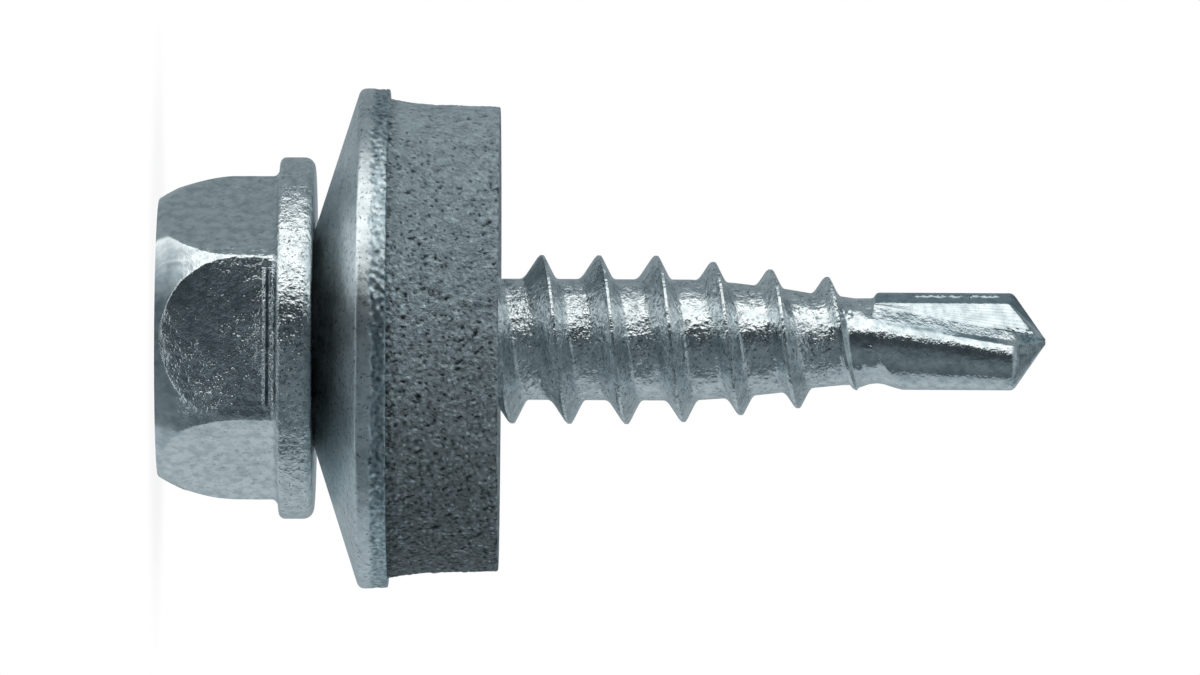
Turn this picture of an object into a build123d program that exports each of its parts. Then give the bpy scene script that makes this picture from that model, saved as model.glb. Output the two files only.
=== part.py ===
"""A self drilling screw with its captive sealing washer, in millimetres.

The screw stands on its head with the drill point up: the origin is the centre of the head's top face
and +Z runs along the axis towards the point. One flat of the hexagon faces -Y.
Three pieces: the screw (forged and rolled in one piece), the dished metal washer and the rubber seal
that is bonded to the washer's underside.
"""

from build123d import *
from math import cos, floor, hypot, pi, radians, sin, sqrt, tan
import os

# Head: a hexagon on a round flange, forged in one piece
ACROSS_FLATS = 7.88
HEAD_HEIGHT = 4.38  # top face to the flange's bearing face
HEX_CORNER_RADIUS = 0.175  # or more, where the flange is too narrow for such corners
DOME_HEIGHT = 2.34  # from the top face to where the dome runs into the corners
DOME_CLEARANCE = 0.0075  # of the dome's widest circle outside the corners
TOP_EDGE_RADIUS = 0.1
FLANGE_DIAMETER = 10.12
FLANGE_THICKNESS = 0.98
FLANGE_UPPER_EDGE = 0.17
FLANGE_LOWER_EDGE = 0.3
COLLAR_FILLET = 0.32  # between the hexagon and the flange
LEDGE_FLAT = 0.04  # left flat on the flange between that fillet and the upper edge, at a corner

# Shank
SHANK_LENGTH = 20.45  # bearing face to the tip
NECK_DIAMETER = 3.9  # the unrolled blank under the head
NECK_LENGTH = 1.1
NECK_TAPER_LENGTH = 0.25
NECK_FILLET = 0.25
CORE_DIAMETER = 3.39
CORE_TAPER_LENGTH = 4.5  # of the core before the drill point

# Thread: right hand, single start, rolled
THREAD_DIAMETER = 4.72
PITCH = 1.6
THREAD_START = 1.54  # from the bearing face
THREAD_END = 0.35  # at least this far before the drill point
THREAD_START_ANGLE = 180.0
UPPER_FLANK_ANGLE = 33.0  # on the head's side, from square to the axis
LOWER_FLANK_ANGLE = 26.0
CREST_WIDTH = 0.08
CREST_TAPER_LENGTH = 5.7  # of the crest before the drill point
CREST_TAPER_ANGLE = 7.46
RUN_OUT_TURNS = 0.5
LEAST_HEIGHT = 0.03  # of the ridge where it starts and ends

# Drill point, pinched between dies: two round lobes with a flute before each
POINT_LENGTH = 4.93  # from the tip to the end of the rolled core
POINT_DIAMETER = 2.72
POINT_NECK_DIAMETER = 2.34
POINT_NECK_SLOPE = 32.0  # from the axis, where the neck widens to the lobes
POINT_CLEARANCE = 0.27  # of the cutting envelope's side outside the lobes
POINT_ANGLE = 108.6
CHISEL_RADIUS = 0.1
RAKE_EDGE_OFFSET = 1.06  # of each lobe's leading edge from the axis
FLUTE_START_OFFSET = 1.013  # of the flute's root from the axis, where the point begins
FLUTE_START_DEPTH = 0.72
FLUTE_TIP_OFFSET = 0.1
FLUTE_TIP_DEPTH = 0.5
RAKE_SLOPE = 25.0  # of the rake faces, which fall back from the root to the cutting edge
FLUTE_SECTIONS = 4

# Washer: pressed sheet, dished
WASHER_DIAMETER = 14.0
WASHER_THICKNESS = 0.8
WASHER_BORE_CLEARANCE = 0.35  # on radius, round the thread
WASHER_LAND_WIDTH = 0.34  # the flat ring under the flange
DISH_ANGLE = 17.8
WASHER_BEND_RADIUS = 0.5
WASHER_UPPER_EDGE = 0.24
WASHER_LOWER_EDGE = 0.1

# Seal: rubber bonded under the washer
SEAL_RIM_HEIGHT = 3.06  # from the washer's rim to the face that meets the sheet
SEAL_BORE_CLEARANCE = 0.07  # on radius, round the thread
SEAL_INSET = 0.28  # of the seal's bonded edge from the washer's rim
SEAL_FLARE = 0.19  # how much the seal narrows below its bonded edge
SEAL_FLARE_HEIGHT = 1.66
SEAL_DRAFT_ANGLE = 1.3
SEAL_CONTACT_WIDTH = 0.5  # the flat ring that meets the sheet first
SEAL_EDGE_RADIUS = 0.08

STEPS = 6  # of each half turn of the thread's curves
NUDGE = 1e-4  # of a turn, for a curve's direction
CLOSE = 1e-4  # lengths nearer than this are equal

bearing_z = HEAD_HEIGHT
flange_z = bearing_z - FLANGE_THICKNESS
tip_z = bearing_z + SHANK_LENGTH
point_z = tip_z - POINT_LENGTH
neck_end_z = bearing_z + NECK_LENGTH
core_taper_z = point_z - CORE_TAPER_LENGTH
crest_taper_z = point_z - CREST_TAPER_LENGTH
thread_z = bearing_z + THREAD_START
turns = floor(2 * (point_z - THREAD_END - thread_z) / PITCH) / 2  # whole half turns
flat_radius = ACROSS_FLATS / 2
flange_radius = FLANGE_DIAMETER / 2
ledge_radius = flange_radius - FLANGE_UPPER_EDGE - LEDGE_FLAT - COLLAR_FILLET
corner_growth = 1 / cos(radians(30)) - 1
corner_rounding = max(HEX_CORNER_RADIUS, flat_radius - (ledge_radius - flat_radius) / corner_growth)
dome_radius = flat_radius + (flat_radius - corner_rounding) * corner_growth + DOME_CLEARANCE
core_radius = CORE_DIAMETER / 2
thread_radius = THREAD_DIAMETER / 2
point_radius = POINT_DIAMETER / 2
point_neck_radius = POINT_NECK_DIAMETER / 2

dish = radians(DISH_ANGLE)
bore_radius = thread_radius + WASHER_BORE_CLEARANCE
land_radius = bore_radius + WASHER_LAND_WIDTH
lower_land_radius = land_radius - WASHER_THICKNESS * tan(dish / 2)
rim_radius = WASHER_DIAMETER / 2
washer_z = bearing_z + WASHER_THICKNESS  # the underside of the washer's land


def turned(*corners):
    """A solid of revolution from its half section: corners of (radius, z), or (radius, z, rounding)."""
    section = make_face(Polyline(*(corner[:2] for corner in corners), close=True))
    for radius, z, rounding in (corner for corner in corners if len(corner) == 3):
        section = fillet(section.vertices().sort_by_distance((radius, z))[0], rounding)
    return revolve(Plane.XZ * section, Axis.Z)


def dome():
    """A round blank as wide as the hexagon's corners, with a flat top, a rounded edge and a dome."""
    top = (sqrt(dome_radius**2 - DOME_HEIGHT**2), 0)
    side = (dome_radius, DOME_HEIGHT)
    straight = Polyline(side, (dome_radius, flange_z), (0, flange_z), (0, 0), top)
    section = make_face(straight + RadiusArc(side, top, dome_radius))
    section = fillet(section.vertices().sort_by_distance(top)[0], TOP_EDGE_RADIUS)
    return revolve(Plane.XZ * section, Axis.Z)


def in_collar(edge):
    """Whether an edge is where the hexagon meets the flange."""
    ends_and_middle = (edge @ 0, edge @ 0.5, edge @ 1)
    level = all(abs(point.Z - flange_z) < CLOSE for point in ends_and_middle)
    return level and max(hypot(point.X, point.Y) for point in ends_and_middle) < ledge_radius + CLOSE


def head():
    """The hexagon on its flange, with the collar's fillet between them, and the neck."""
    hexagon = RegularPolygon(flat_radius, 6, major_radius=False)
    hexagon = fillet(hexagon.vertices(), corner_rounding)
    whole = (extrude(hexagon, flange_z) & dome()) + flange_and_neck()
    return fillet([edge for edge in whole.edges() if in_collar(edge)], COLLAR_FILLET)


def flange_and_neck():
    """The round flange and the plain blank between it and the thread's core."""
    return turned(
        (0, flange_z),
        (flange_radius, flange_z, FLANGE_UPPER_EDGE),
        (flange_radius, bearing_z, FLANGE_LOWER_EDGE),
        (NECK_DIAMETER / 2, bearing_z, NECK_FILLET),
        (NECK_DIAMETER / 2, neck_end_z - NECK_TAPER_LENGTH),
        (core_radius, neck_end_z),
        (0, neck_end_z),
    )


def core_at(z):
    """The core's radius: parallel, then tapering to the drill point's neck."""
    taper = (core_radius - point_neck_radius) / CORE_TAPER_LENGTH
    return core_radius - taper * max(0, z - core_taper_z)


def crest_at(z):
    """The thread's radius: parallel, then tapering towards the drill point."""
    return thread_radius - tan(radians(CREST_TAPER_ANGLE)) * max(0, z - crest_taper_z)


def ridge(turn):
    """The (radius, z) corners of the thread's section: upper foot, crest's two edges, lower foot."""
    z = thread_z + PITCH * turn
    fade = min(1, turn / RUN_OUT_TURNS, (turns - turn) / RUN_OUT_TURNS)
    height = max(LEAST_HEIGHT, (crest_at(z) - core_at(z)) * sqrt(max(0, fade)))
    crest = core_at(z) + height
    upper = z - CREST_WIDTH / 2
    lower = z + CREST_WIDTH / 2
    upper_foot = upper - height * tan(radians(UPPER_FLANK_ANGLE))
    lower_foot = lower + height * tan(radians(LOWER_FLANK_ANGLE))
    return (
        (core_at(upper_foot), upper_foot),
        (crest, upper),
        (crest, lower),
        (core_at(lower_foot), lower_foot),
    )


def placed(turn, radius, z):
    """The point at this radius and height where the thread has made so many turns."""
    angle = radians(THREAD_START_ANGLE) + 2 * pi * turn
    return Vector(radius * cos(angle), radius * sin(angle), z)


def ridge_curve(corner, start):
    """Half a turn of one corner of the ridge, as a smooth curve."""

    def spot(turn):
        turn = min(max(turn, 0), turns)
        return placed(turn, *ridge(turn)[corner])

    def direction(turn):
        return (spot(turn + NUDGE) - spot(turn - NUDGE)).normalized()

    shares = [step / STEPS for step in range(STEPS + 1)]
    points = [spot(start + share / 2) for share in shares]
    ends = [direction(start), direction(start + 0.5)]
    return Edge.make_spline(points, tangents=ends, parameters=shares)


def ring_curve(z, start):
    """Half a turn of the circle round the core at this height."""
    points = [placed(start + share, core_at(z), z) for share in (0, 0.25, 0.5)]
    return Edge.make_three_point_arc(*points)


def threaded_core():
    """The tapering core and its thread as one solid, closed by discs where the neck and point join it.

    Its faces are strips between neighbouring curves: the flanks, the crest, the root between one turn
    and the next, and the plain core before the first turn and after the last.
    """
    strip = Face.make_surface_from_curves
    starts = [half / 2 for half in range(round(2 * turns))]
    feet, upper_edges, lower_edges, lower_feet = (
        {start: ridge_curve(corner, start) for start in starts} for corner in range(4)
    )
    faces = [strip(feet[start], upper_edges[start]) for start in starts]
    faces += [strip(upper_edges[start], lower_edges[start]) for start in starts]
    faces += [strip(lower_edges[start], lower_feet[start]) for start in starts]
    faces += [strip(lower_feet[start], feet[start + 1]) for start in starts[:-2]]
    faces += [strip(ring_curve(neck_end_z, start), feet[start]) for start in starts[:2]]
    faces += [strip(lower_feet[start], ring_curve(point_z, start)) for start in starts[-2:]]
    for turn in (0, turns):
        corners = [placed(turn, *corner) for corner in ridge(turn)]
        faces.append(Face(Wire.make_polygon(corners, close=True)))
    for z, start in ((neck_end_z, 0), (point_z, turns - 1)):
        faces.append(Face(Wire([ring_curve(z, start), ring_curve(z, start + 0.5)])))
    return Solid(Shell(faces))


def point_section(z):
    """The drill point's outline at this height: two lobes, with a rake face from each flute's root.

    Each lobe is an arc from the point's diameter to the root of the flute behind it, and a flat
    margin joins its outside to its leading edge.
    """
    share = (z - point_z) / POINT_LENGTH
    root_x = FLUTE_START_OFFSET + share * (FLUTE_TIP_OFFSET - FLUTE_START_OFFSET)
    root_y = FLUTE_START_DEPTH + share * (FLUTE_TIP_DEPTH - FLUTE_START_DEPTH)
    edge_y = root_y - (RAKE_EDGE_OFFSET - root_x) * tan(radians(RAKE_SLOPE))
    outline = Curve()
    for side in (1, -1):
        edge = (side * RAKE_EDGE_OFFSET, side * edge_y, z)
        outside = (side * point_radius, 0, z)
        root = (-side * root_x, -side * root_y, z)
        next_edge = (-edge[0], -edge[1], z)
        outline += Line(edge, outside)
        outline += TangentArc(outside, root, tangent=(0, -side, 0))
        outline += Line(root, next_edge)
    return make_face(outline)


def drill_point():
    """The two lobes, cut to the neck's slope at one end and to the point's cone at the other."""
    beyond = tip_z + CHISEL_RADIUS
    spacing = (beyond - point_z) / (FLUTE_SECTIONS - 1)
    lobes = loft([point_section(point_z + spacing * count) for count in range(FLUTE_SECTIONS)])
    clear_radius = point_radius + POINT_CLEARANCE
    slope_z = point_z + (clear_radius - point_neck_radius) / tan(radians(POINT_NECK_SLOPE))
    cone_z = tip_z - (clear_radius - CHISEL_RADIUS) / tan(radians(POINT_ANGLE / 2))
    envelope = turned(
        (0, point_z),
        (point_neck_radius, point_z),
        (clear_radius, slope_z),
        (clear_radius, cone_z),
        (CHISEL_RADIUS, tip_z),
        (0, tip_z),
    )
    return lobes & envelope


def screw():
    """Head, neck, threaded core and drill point in one piece."""
    return head() + threaded_core() + drill_point()


def washer_underside(radius):
    """The height of the dished washer's lower face at this radius."""
    return bearing_z + (radius - land_radius) * tan(dish) + WASHER_THICKNESS / cos(dish)


def metal_washer():
    """The dished washer: a flat land round the bore, a cone and a rounded rim."""
    return turned(
        (bore_radius, bearing_z),
        (land_radius, bearing_z, WASHER_BEND_RADIUS),
        (rim_radius, bearing_z + (rim_radius - land_radius) * tan(dish), WASHER_UPPER_EDGE),
        (rim_radius, washer_underside(rim_radius), WASHER_LOWER_EDGE),
        (lower_land_radius, washer_z),
        (bore_radius, washer_z),
    )


def rubber_seal():
    """The seal under the washer: it follows the dish above and below, and flares to its bonded edge."""
    seal_bore_radius = thread_radius + SEAL_BORE_CLEARANCE
    bonded_radius = rim_radius - SEAL_INSET
    bonded = (bonded_radius, washer_underside(bonded_radius))
    wall_top = (bonded_radius - SEAL_FLARE, bonded[1] + SEAL_FLARE_HEIGHT)
    lower_z = washer_underside(rim_radius) + SEAL_RIM_HEIGHT
    draft = radians(SEAL_DRAFT_ANGLE)
    lower_radius = wall_top[0] - (lower_z - wall_top[1]) * tan(draft)
    contact_radius = lower_radius - SEAL_CONTACT_WIDTH
    lower_edge = (lower_radius, lower_z)
    straight = Polyline(
        wall_top,
        lower_edge,
        (contact_radius, lower_z),
        (seal_bore_radius, lower_z - (contact_radius - seal_bore_radius) * tan(dish)),
        (seal_bore_radius, washer_z),
        (lower_land_radius, washer_z),
        bonded,
    )
    flare = TangentArc(wall_top, bonded, tangent=(sin(draft), -cos(draft)))
    section = make_face(straight + flare)
    section = fillet(section.vertices().sort_by_distance(lower_edge)[0], SEAL_EDGE_RADIUS)
    return revolve(Plane.XZ * section, Axis.Z)


pieces = {"screw": screw(), "metal_washer": metal_washer(), "rubber_seal": rubber_seal()}
os.makedirs("parts", exist_ok=True)
for name, piece in pieces.items():
    export_step(piece, f"parts/{name}.step")
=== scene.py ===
"""The look of the self drilling screw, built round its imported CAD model.

The frame stands the screw on its head with its axis on +Z, and angles are counted from +X.
Upper and top name the head's side, and lower the tip's side, though heights (z) grow to the tip.
Shapes are worked out here in millimetres and turned to metres when their mesh is made.
"""

from math import cos, pi, radians, sin, sqrt, tan

import bpy
import numpy as np
from mathutils import Matrix, Vector, noise


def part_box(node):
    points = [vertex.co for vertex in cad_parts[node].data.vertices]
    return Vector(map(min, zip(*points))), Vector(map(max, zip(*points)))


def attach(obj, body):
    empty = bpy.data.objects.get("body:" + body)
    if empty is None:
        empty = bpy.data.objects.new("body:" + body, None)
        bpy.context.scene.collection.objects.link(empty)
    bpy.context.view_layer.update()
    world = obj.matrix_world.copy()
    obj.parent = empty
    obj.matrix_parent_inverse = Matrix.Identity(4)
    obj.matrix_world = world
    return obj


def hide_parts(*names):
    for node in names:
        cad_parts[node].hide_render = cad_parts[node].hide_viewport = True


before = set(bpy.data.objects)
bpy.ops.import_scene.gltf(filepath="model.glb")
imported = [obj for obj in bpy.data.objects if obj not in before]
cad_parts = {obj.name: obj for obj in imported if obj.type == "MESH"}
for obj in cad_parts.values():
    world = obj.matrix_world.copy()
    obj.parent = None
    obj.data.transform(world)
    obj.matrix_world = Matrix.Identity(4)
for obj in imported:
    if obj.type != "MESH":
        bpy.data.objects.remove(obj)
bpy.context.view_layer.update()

MM = 0.001

# Head and flange
FLAT_RADIUS = 3.94
CORNER_RADIUS = 0.15
DOME_HEIGHT = 2.34
DOME_RADIUS = 4.53
FLANGE_RADIUS = 5.06
FLANGE_Z = 3.4
BEARING_Z = 4.38
UPPER_EDGE = 0.17
LOWER_EDGE = 0.3
COLLAR_FILLET = 0.32
COLLAR_HEIGHT = 0.6 * COLLAR_FILLET
TOP_EDGE = 0.06
TOP_EDGE_DEPTH = 0.85 * TOP_EDGE
DOME_BLEND = 0.07  # where the dome meets the flats
BEARING_RING = 3.2  # a row of the bearing face, between its edge and the neck
STEPS = ((2.99, 0.09, 0.05), (3.15, 0.03, -0.016))  # on the front and back flats: start, length and rise
STEP_HALF_ANGLE = radians(25.8)  # from the middle of each flat
GROOVE_DARKNESS = 0.7  # painted shade in the groove between the two steps
GROOVE_EDGE = 0.02

# Shank and thread: right hand, one start
NECK_RADIUS = 1.95
NECK_FILLET = 0.25
PITCH = 1.6
THREAD_Z = 5.92  # where the first crest starts, on the side of -X
THREAD_TURNS = 8.5
CREST_RADIUS = 2.36
CREST_TAPER_Z = 14.2
CREST_TAPER = 0.126
CREST_WIDTH = 0.07
UPPER_FLANK = tan(radians(33))
LOWER_FLANK = tan(radians(26))
CREST_ROUNDING = 0.05
ROOT_ROUNDING = 0.2
FULL_HEIGHT = 0.2  # a lower thread has less rounding at its root
LEAST_HEIGHT = 0.004
FADE_IN_TURNS = 0.5
RUN_OUT_TURNS = 0.5  # before the thread's end, its crest starts to run out
FADE_TURNS = (0, 0.08, 0.16, 0.26, 0.4, 0.5, 0.58)  # from there
FADE_SHARES = (1, 0.8, 0.48, 0.3, 0.2, 0.2, 0)
# The core's radius by height
CORE_Z = (4.4, 5.2, 5.5, 14.9, 16.1, 16.8, 17.6, 18.3, 19.2, 19.5, 20.5)
CORE_R = (1.95, 1.95, 1.695, 1.695, 1.61, 1.53, 1.44, 1.325, 1.235, 1.19, 1.18)
# What the dies leave: angle, place on the axis, half width in degrees, half length, and rise or dent
MARKS = (
    (270, 20.0, 55, 0.45, 0.1),
    (90, 20.0, 55, 0.45, 0.1),
    (0, 19.62, 40, 0.2, 0.1),
    (0, 20.3, 60, 0.2, -0.03),
    (228, 18.89, 7, 0.09, 0.05),
    (231, 19.2, 5, 0.05, 0.07),
    (236, 19.33, 5, 0.06, 0.06),
    (226, 19.36, 4, 0.05, 0.05),
    (226, 19.87, 14, 0.22, -0.05),
    (205, 19.62, 7, 0.07, 0.05),
    (200, 19.8, 6, 0.07, 0.05),
    (197, 19.97, 6, 0.07, 0.05),
    (193, 20.12, 7, 0.07, 0.09),
    (280, 19.95, 4, 0.3, 0.045),
    (320, 19.72, 16, 0.05, -0.03),
    (318, 20.15, 16, 0.05, -0.02),
    (321, 18.62, 4, 0.12, -0.04),
)

# Drill point
TIP_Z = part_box("screw")[1].z / MM
POINT_Z = 19.9
POINT_RADIUS = 1.36
POINT_MIDDLE_Z = 22.0  # a height between the shoulder and the tip
CHISEL_RADIUS = 0.12
CHISEL_HEIGHT = 0.03
SHOULDER_STARTS = (20.12, 19.98)  # on the side of +X, and of -X
SHOULDER_SLOPES = (tan(radians(14)), tan(radians(42)))
RAKE_EDGE = 1.06  # the cutting edge's distance across from the axis
MARGIN_SLOPE = tan(radians(56))
MARGIN_ROOM = 0.03  # between its bend and the centre of the lobe's round side
FLOOR_SLOPE = tan(radians(25))
ROOT_START = (1.013, 0.72)  # a flute's root, across and off the axis, where the point starts
ROOT_TIP = (0.1, 0.5)
WEB_SLOPE = tan(radians(42))
WEB_START = (0.4, 0.52)  # across from the root: to the web's end, and to the lobe's round side
WEB_TIP = (0.22, 0.36)
CORNER_ROUNDING = 0.1
TURN_IN_Z = 23.93  # where the lobes turn in to the tip
CUTTING_EDGE = (1.1, 23.8, 1.23)  # the flutes' tip end: distance across there, z and slope
RIDGE_HEIGHT = 0.045  # of the low rolled ridge along each lobe's margin
RIDGE_START = (20.9, 21.2)
RIDGE_END = (23.3, 23.6)
BURR_HEIGHT = 0.1  # of the margin's uneven burrs
MARGIN_CENTRE, MARGIN_WIDTH = 0.46, 0.14  # where both stand, as shares of the way over the margin

# Washer and seal
BORE_RADIUS = 2.71
LAND_RADIUS = 3.05
RIM_RADIUS = 7.0
WASHER_THICKNESS = 0.8
DISH = radians(17.8)
BEND_RADIUS = 0.5
RIM_UPPER_EDGE = 0.24
RIM_LOWER_EDGE = 0.1
TEAR_START = (0.52, 0.4)  # above the rim's underside: where its side starts to tear, and is all torn
SEAL_BORE_RADIUS = 2.43
SEAL_INSET = 0.28
SEAL_FLARE = 0.19
SEAL_FLARE_HEIGHT = 1.66
SEAL_FLARE_CONTROL = (0.42, 0.45)  # its curve's control point, as shares of that height
SEAL_RIM_HEIGHT = 3.06
SEAL_DRAFT = radians(1.3)
SEAL_CONTACT_WIDTH = 0.5
SEAL_EDGE = 0.08
SKIN_RADII = (6.2, 6.4)  # the rubber's pits and grain are outside these
WRINKLE_HEIGHTS = (6.4, 8.2)  # where its wrinkles along the axis start, and are full

# Studio, in metres
CAMERA_PLACE = (-0.00006, -0.3733, 0.012362)
CAMERA_TILT = radians(0.3)
MIDDLE = (0, 0, 0.012)  # of the object, for the lamps to point at
FLOOR_RADIUS = 0.07
FLOOR_Z = -0.00003
SHADOW_END = (0.004, 0.01)  # from the axis: where the floor's shadow starts to fade, and is gone
TENT_RADIUS = 0.3
TENT_LOW = -0.00001
TABLE_START = 0.12  # the table card starts this far in millimetres inside the head's flats
TENT_RISES = (0, 10, 20, 25, 30, 35, 40, 45, 50, 60, 75, 89.9)
TABLE_REACHES = (0, 0.0008, 0.0014, 0.0017, 0.0021, 0.0024, 0.004, 0.006, 0.01, 0.02, 0.06, TENT_RADIUS)
NEAR_REACH = (0.0008, 0.003)  # from the head: where its own glow on the table starts to fade, and is gone
POOL_START, POOL_END = (0.0014, 0.0017), (0.0021, 0.0024)
POOL_GLOW = 0.7
# The glow by degrees from the camera's side towards -X: level, high up, and on the table by the head
TENT_TURNS = (-180, -120, -90, -79, -75, -62, -44, -32, -10, 4, 28, 32, 84, 88, 130, 180)
TENT_GLOWS = (0.36, 0.47, 0.4, 0.36, 0.09, 0.13, 0.16, 0.17, 0.11, 0.055, 0.045, 1.0, 1.0, 0.28, 0.26, 0.36)
HIGH_GLOWS = (0.16, 0.2, 0.3, 0.36, 0.38, 0.38, 0.38, 0.38, 0.38, 0.36, 0.34, 0.34, 0.3, 0.2, 0.16, 0.16)
NEAR_GLOWS = (0.36, 0.45, 0.42, 0.36, 0.2, 0.16, 0.15, 0.14, 0.12, 0.12, 0.14, 0.2, 0.8, 0.28, 0.26, 0.36)
GLOW_COLOURS = (  # a card's colour for each glow
    (0, (0, 0, 0)),
    (0.12, (0.094, 0.12, 0.135)),
    (0.42, (0.36, 0.42, 0.45)),
    (1, (1.15, 1.18, 1.18)),
)

# Meshes
SHARP_ANGLE = radians(35)
COLUMNS = 204  # of the screw's mesh, round its axis
CORNER_CROWDING = 0.8  # of its columns, at the hexagon's corners
WEB_COLUMNS = 18  # beside a flute's root, before the lobe's round side
MARGIN_COLUMNS, FLOOR_COLUMNS = 12, 24
LOBE_COLUMNS = COLUMNS // 2 - MARGIN_COLUMNS - FLOOR_COLUMNS
COLUMNS_TO_ROOT = 70  # from the outside of a lobe back to its flute's root
UNDER_ROWS = 12  # of the head, from the flange's lower edge on
THREAD_STRIPS = 9  # each of one turn
SHOULDER_ROWS = 20
POINT_ROWS = 49
FIRST_RING_Z = 4.82  # the thread's rows start and end on these two rings
LAST_RING_Z = 19.77
WASHER_COLUMNS = 720
SEAL_COLUMNS = 900

# Materials
GRAIN_HEIGHT = 0.025  # metres along the axis, for the stops of the plate's grain
GRAIN_STOPS = ((0.015, 0.12), (0.05, 0.5), (0.132, 0.55), (0.144, 1.0), (0.757, 1.0), (0.775, 0.35))
FRONT_FLAT = (-0.0038, -0.0035)  # metres: the grain is coarser on the flat beyond these


# ---------------------------------------------------------------- shapes


def mix(start, end, share):
    return start + (end - start) * share


def soft_min(a, b, width):
    """The lower of two heights, rounded over where they cross."""
    share = np.clip(0.5 + 0.5 * (b - a) / width, 0, 1)
    return mix(b, a, share) - width * share * (1 - share)


def soft_max(a, b, width):
    return -soft_min(-a, -b, width)


def smooth_step(start, end, value):
    share = np.clip((value - start) / (end - start), 0, 1)
    return share * share * (3 - 2 * share)


def rough(points, size, seed):
    """Smooth noise, about -1 to 1, with bumps of this size, at each of the points."""
    shift = Vector((seed, 2.3 * seed, 4.1 * seed))
    flat = points.reshape(-1, 3) / size
    found = [noise.noise(Vector(point) + shift) for point in flat]
    return np.array(found).reshape(points.shape[:-1])


def bezier(start, control, end, count):
    """Points of a rounded corner after its start, as (radius, z) pairs."""
    shares = [step / count for step in range(1, count + 1)]
    return [
        tuple(
            (1 - t) ** 2 * s + 2 * t * (1 - t) * c + t**2 * e
            for s, c, e in zip(start, control, end)
        )
        for t in shares
    ]


def arc(centre, radius, first, last, count):
    """Points of an arc in the half section, from one angle to another in degrees."""
    angles = [radians(mix(first, last, step / count)) for step in range(count + 1)]
    return [(centre[0] + radius * cos(a), centre[1] + radius * sin(a)) for a in angles]


def line(start, end, count):
    """Points of a straight run after its start."""
    return [
        tuple(mix(s, e, step / count) for s, e in zip(start, end))
        for step in range(1, count + 1)
    ]


def polar(angles, radii, heights):
    """Points from arrays of angles, radii and heights."""
    angles, radii, heights = np.broadcast_arrays(angles, radii, heights)
    return np.stack([radii * np.cos(angles), radii * np.sin(angles), heights], axis=-1)


def mesh_piece(name, points, faces, values):
    """A smooth-shaded mesh object from points in millimetres, with a value at each point."""
    used = np.unique(np.concatenate([np.asarray(face) for face in faces]))
    place = np.full(len(points), -1)
    place[used] = np.arange(len(used))
    mesh = bpy.data.meshes.new(name)
    mesh.from_pydata((points[used] * MM).tolist(), [], [place[face].tolist() for face in faces])
    mesh.shade_smooth()
    mesh.set_sharp_from_angle(angle=SHARP_ANGLE)
    store_values(mesh, values[used])
    piece = bpy.data.objects.new(name, mesh)
    bpy.context.scene.collection.objects.link(piece)
    return piece


def store_values(mesh, values):
    """Keeps a value for each of the mesh's points, for its material to read."""
    attribute = mesh.attributes.new("shade", "FLOAT", "POINT")
    attribute.data.foreach_set("value", np.asarray(values, dtype=np.float32))


def quads(ids):
    """Faces between neighbouring rows and columns of a grid of point numbers, without repeats."""
    around = np.stack([ids[:-1, :-1], ids[:-1, 1:], ids[1:, 1:], ids[1:, :-1]], axis=-1)
    around = around.reshape(-1, 4)
    whole = (around != np.roll(around, 1, axis=1)).all(axis=1) & (around[:, 0] != around[:, 2])
    faces = list(around[whole])
    for face in around[~whole]:
        corners = list(dict.fromkeys(face.tolist()))
        if len(corners) == 3:
            faces.append(np.array(corners))
    return faces


# ---------------------------------------------------------------- screw


def hexagon_angles():
    """Column angles that crowd round the hexagon's six corners, the first at +X."""
    share = np.arange(COLUMNS) / COLUMNS * 6
    sector = np.floor(share)
    within = share - sector
    return radians(60) * (sector + within - CORNER_CROWDING * np.sin(2 * pi * within) / (2 * pi))


def hexagon_radius(angles):
    """The rounded hexagon's radius at these angles."""
    from_corner = (angles + radians(30)) % radians(60) - radians(30)
    centre = (FLAT_RADIUS - CORNER_RADIUS) / cos(radians(30))
    flat = FLAT_RADIUS / np.cos(radians(30) - np.abs(from_corner))
    beside = CORNER_RADIUS**2 - (centre * np.sin(from_corner)) ** 2
    corner = centre * np.cos(from_corner) + np.sqrt(np.maximum(beside, 0))
    beyond = centre + CORNER_RADIUS * cos(radians(30))
    in_corner = np.abs(from_corner) < np.arctan2(CORNER_RADIUS * sin(radians(30)), beyond)
    return np.where(in_corner, corner, flat)


def dome_at(z):
    """The dome's radius at this height."""
    return np.sqrt(DOME_RADIUS**2 - (z - DOME_HEIGHT) ** 2)


def step_rows(side, step, end_z, share):
    """Rows of a small step out from the flat, and the slow return after it."""
    z, length, rise = step
    high = side + rise * share
    rows = [(mix(side, high, part), z + length * part) for part in (0.1, 0.5, 0.9, 1)]
    return rows + [(mix(high, side, part), mix(z + length, end_z, part)) for part in (0.35, 0.7, 1)]


def dome_rows(side):
    """The half section from the top's centre over the dome, and where it ends on each column's flat."""
    top = sqrt(DOME_RADIUS**2 - DOME_HEIGHT**2)
    edge_end = (dome_at(TOP_EDGE_DEPTH), TOP_EDGE_DEPTH)
    meet = DOME_HEIGHT - np.sqrt(DOME_RADIUS**2 - side**2)
    blend = np.minimum(DOME_BLEND, 0.4 * (meet - TOP_EDGE_DEPTH))
    rows = [((top - TOP_EDGE) * share, 0) for share in (0, 0.3, 0.6, 0.85, 1)]
    rows += bezier((top - TOP_EDGE, 0), (top, 0), edge_end, 5)
    for share in np.linspace(0, 1, 13)[1:]:
        z = mix(TOP_EDGE_DEPTH, meet - blend, share)
        rows.append((dome_at(z), z))
    rows += bezier((dome_at(meet - blend), meet - blend), (side, meet), (side, meet + blend), 4)
    return rows, meet + blend


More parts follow.
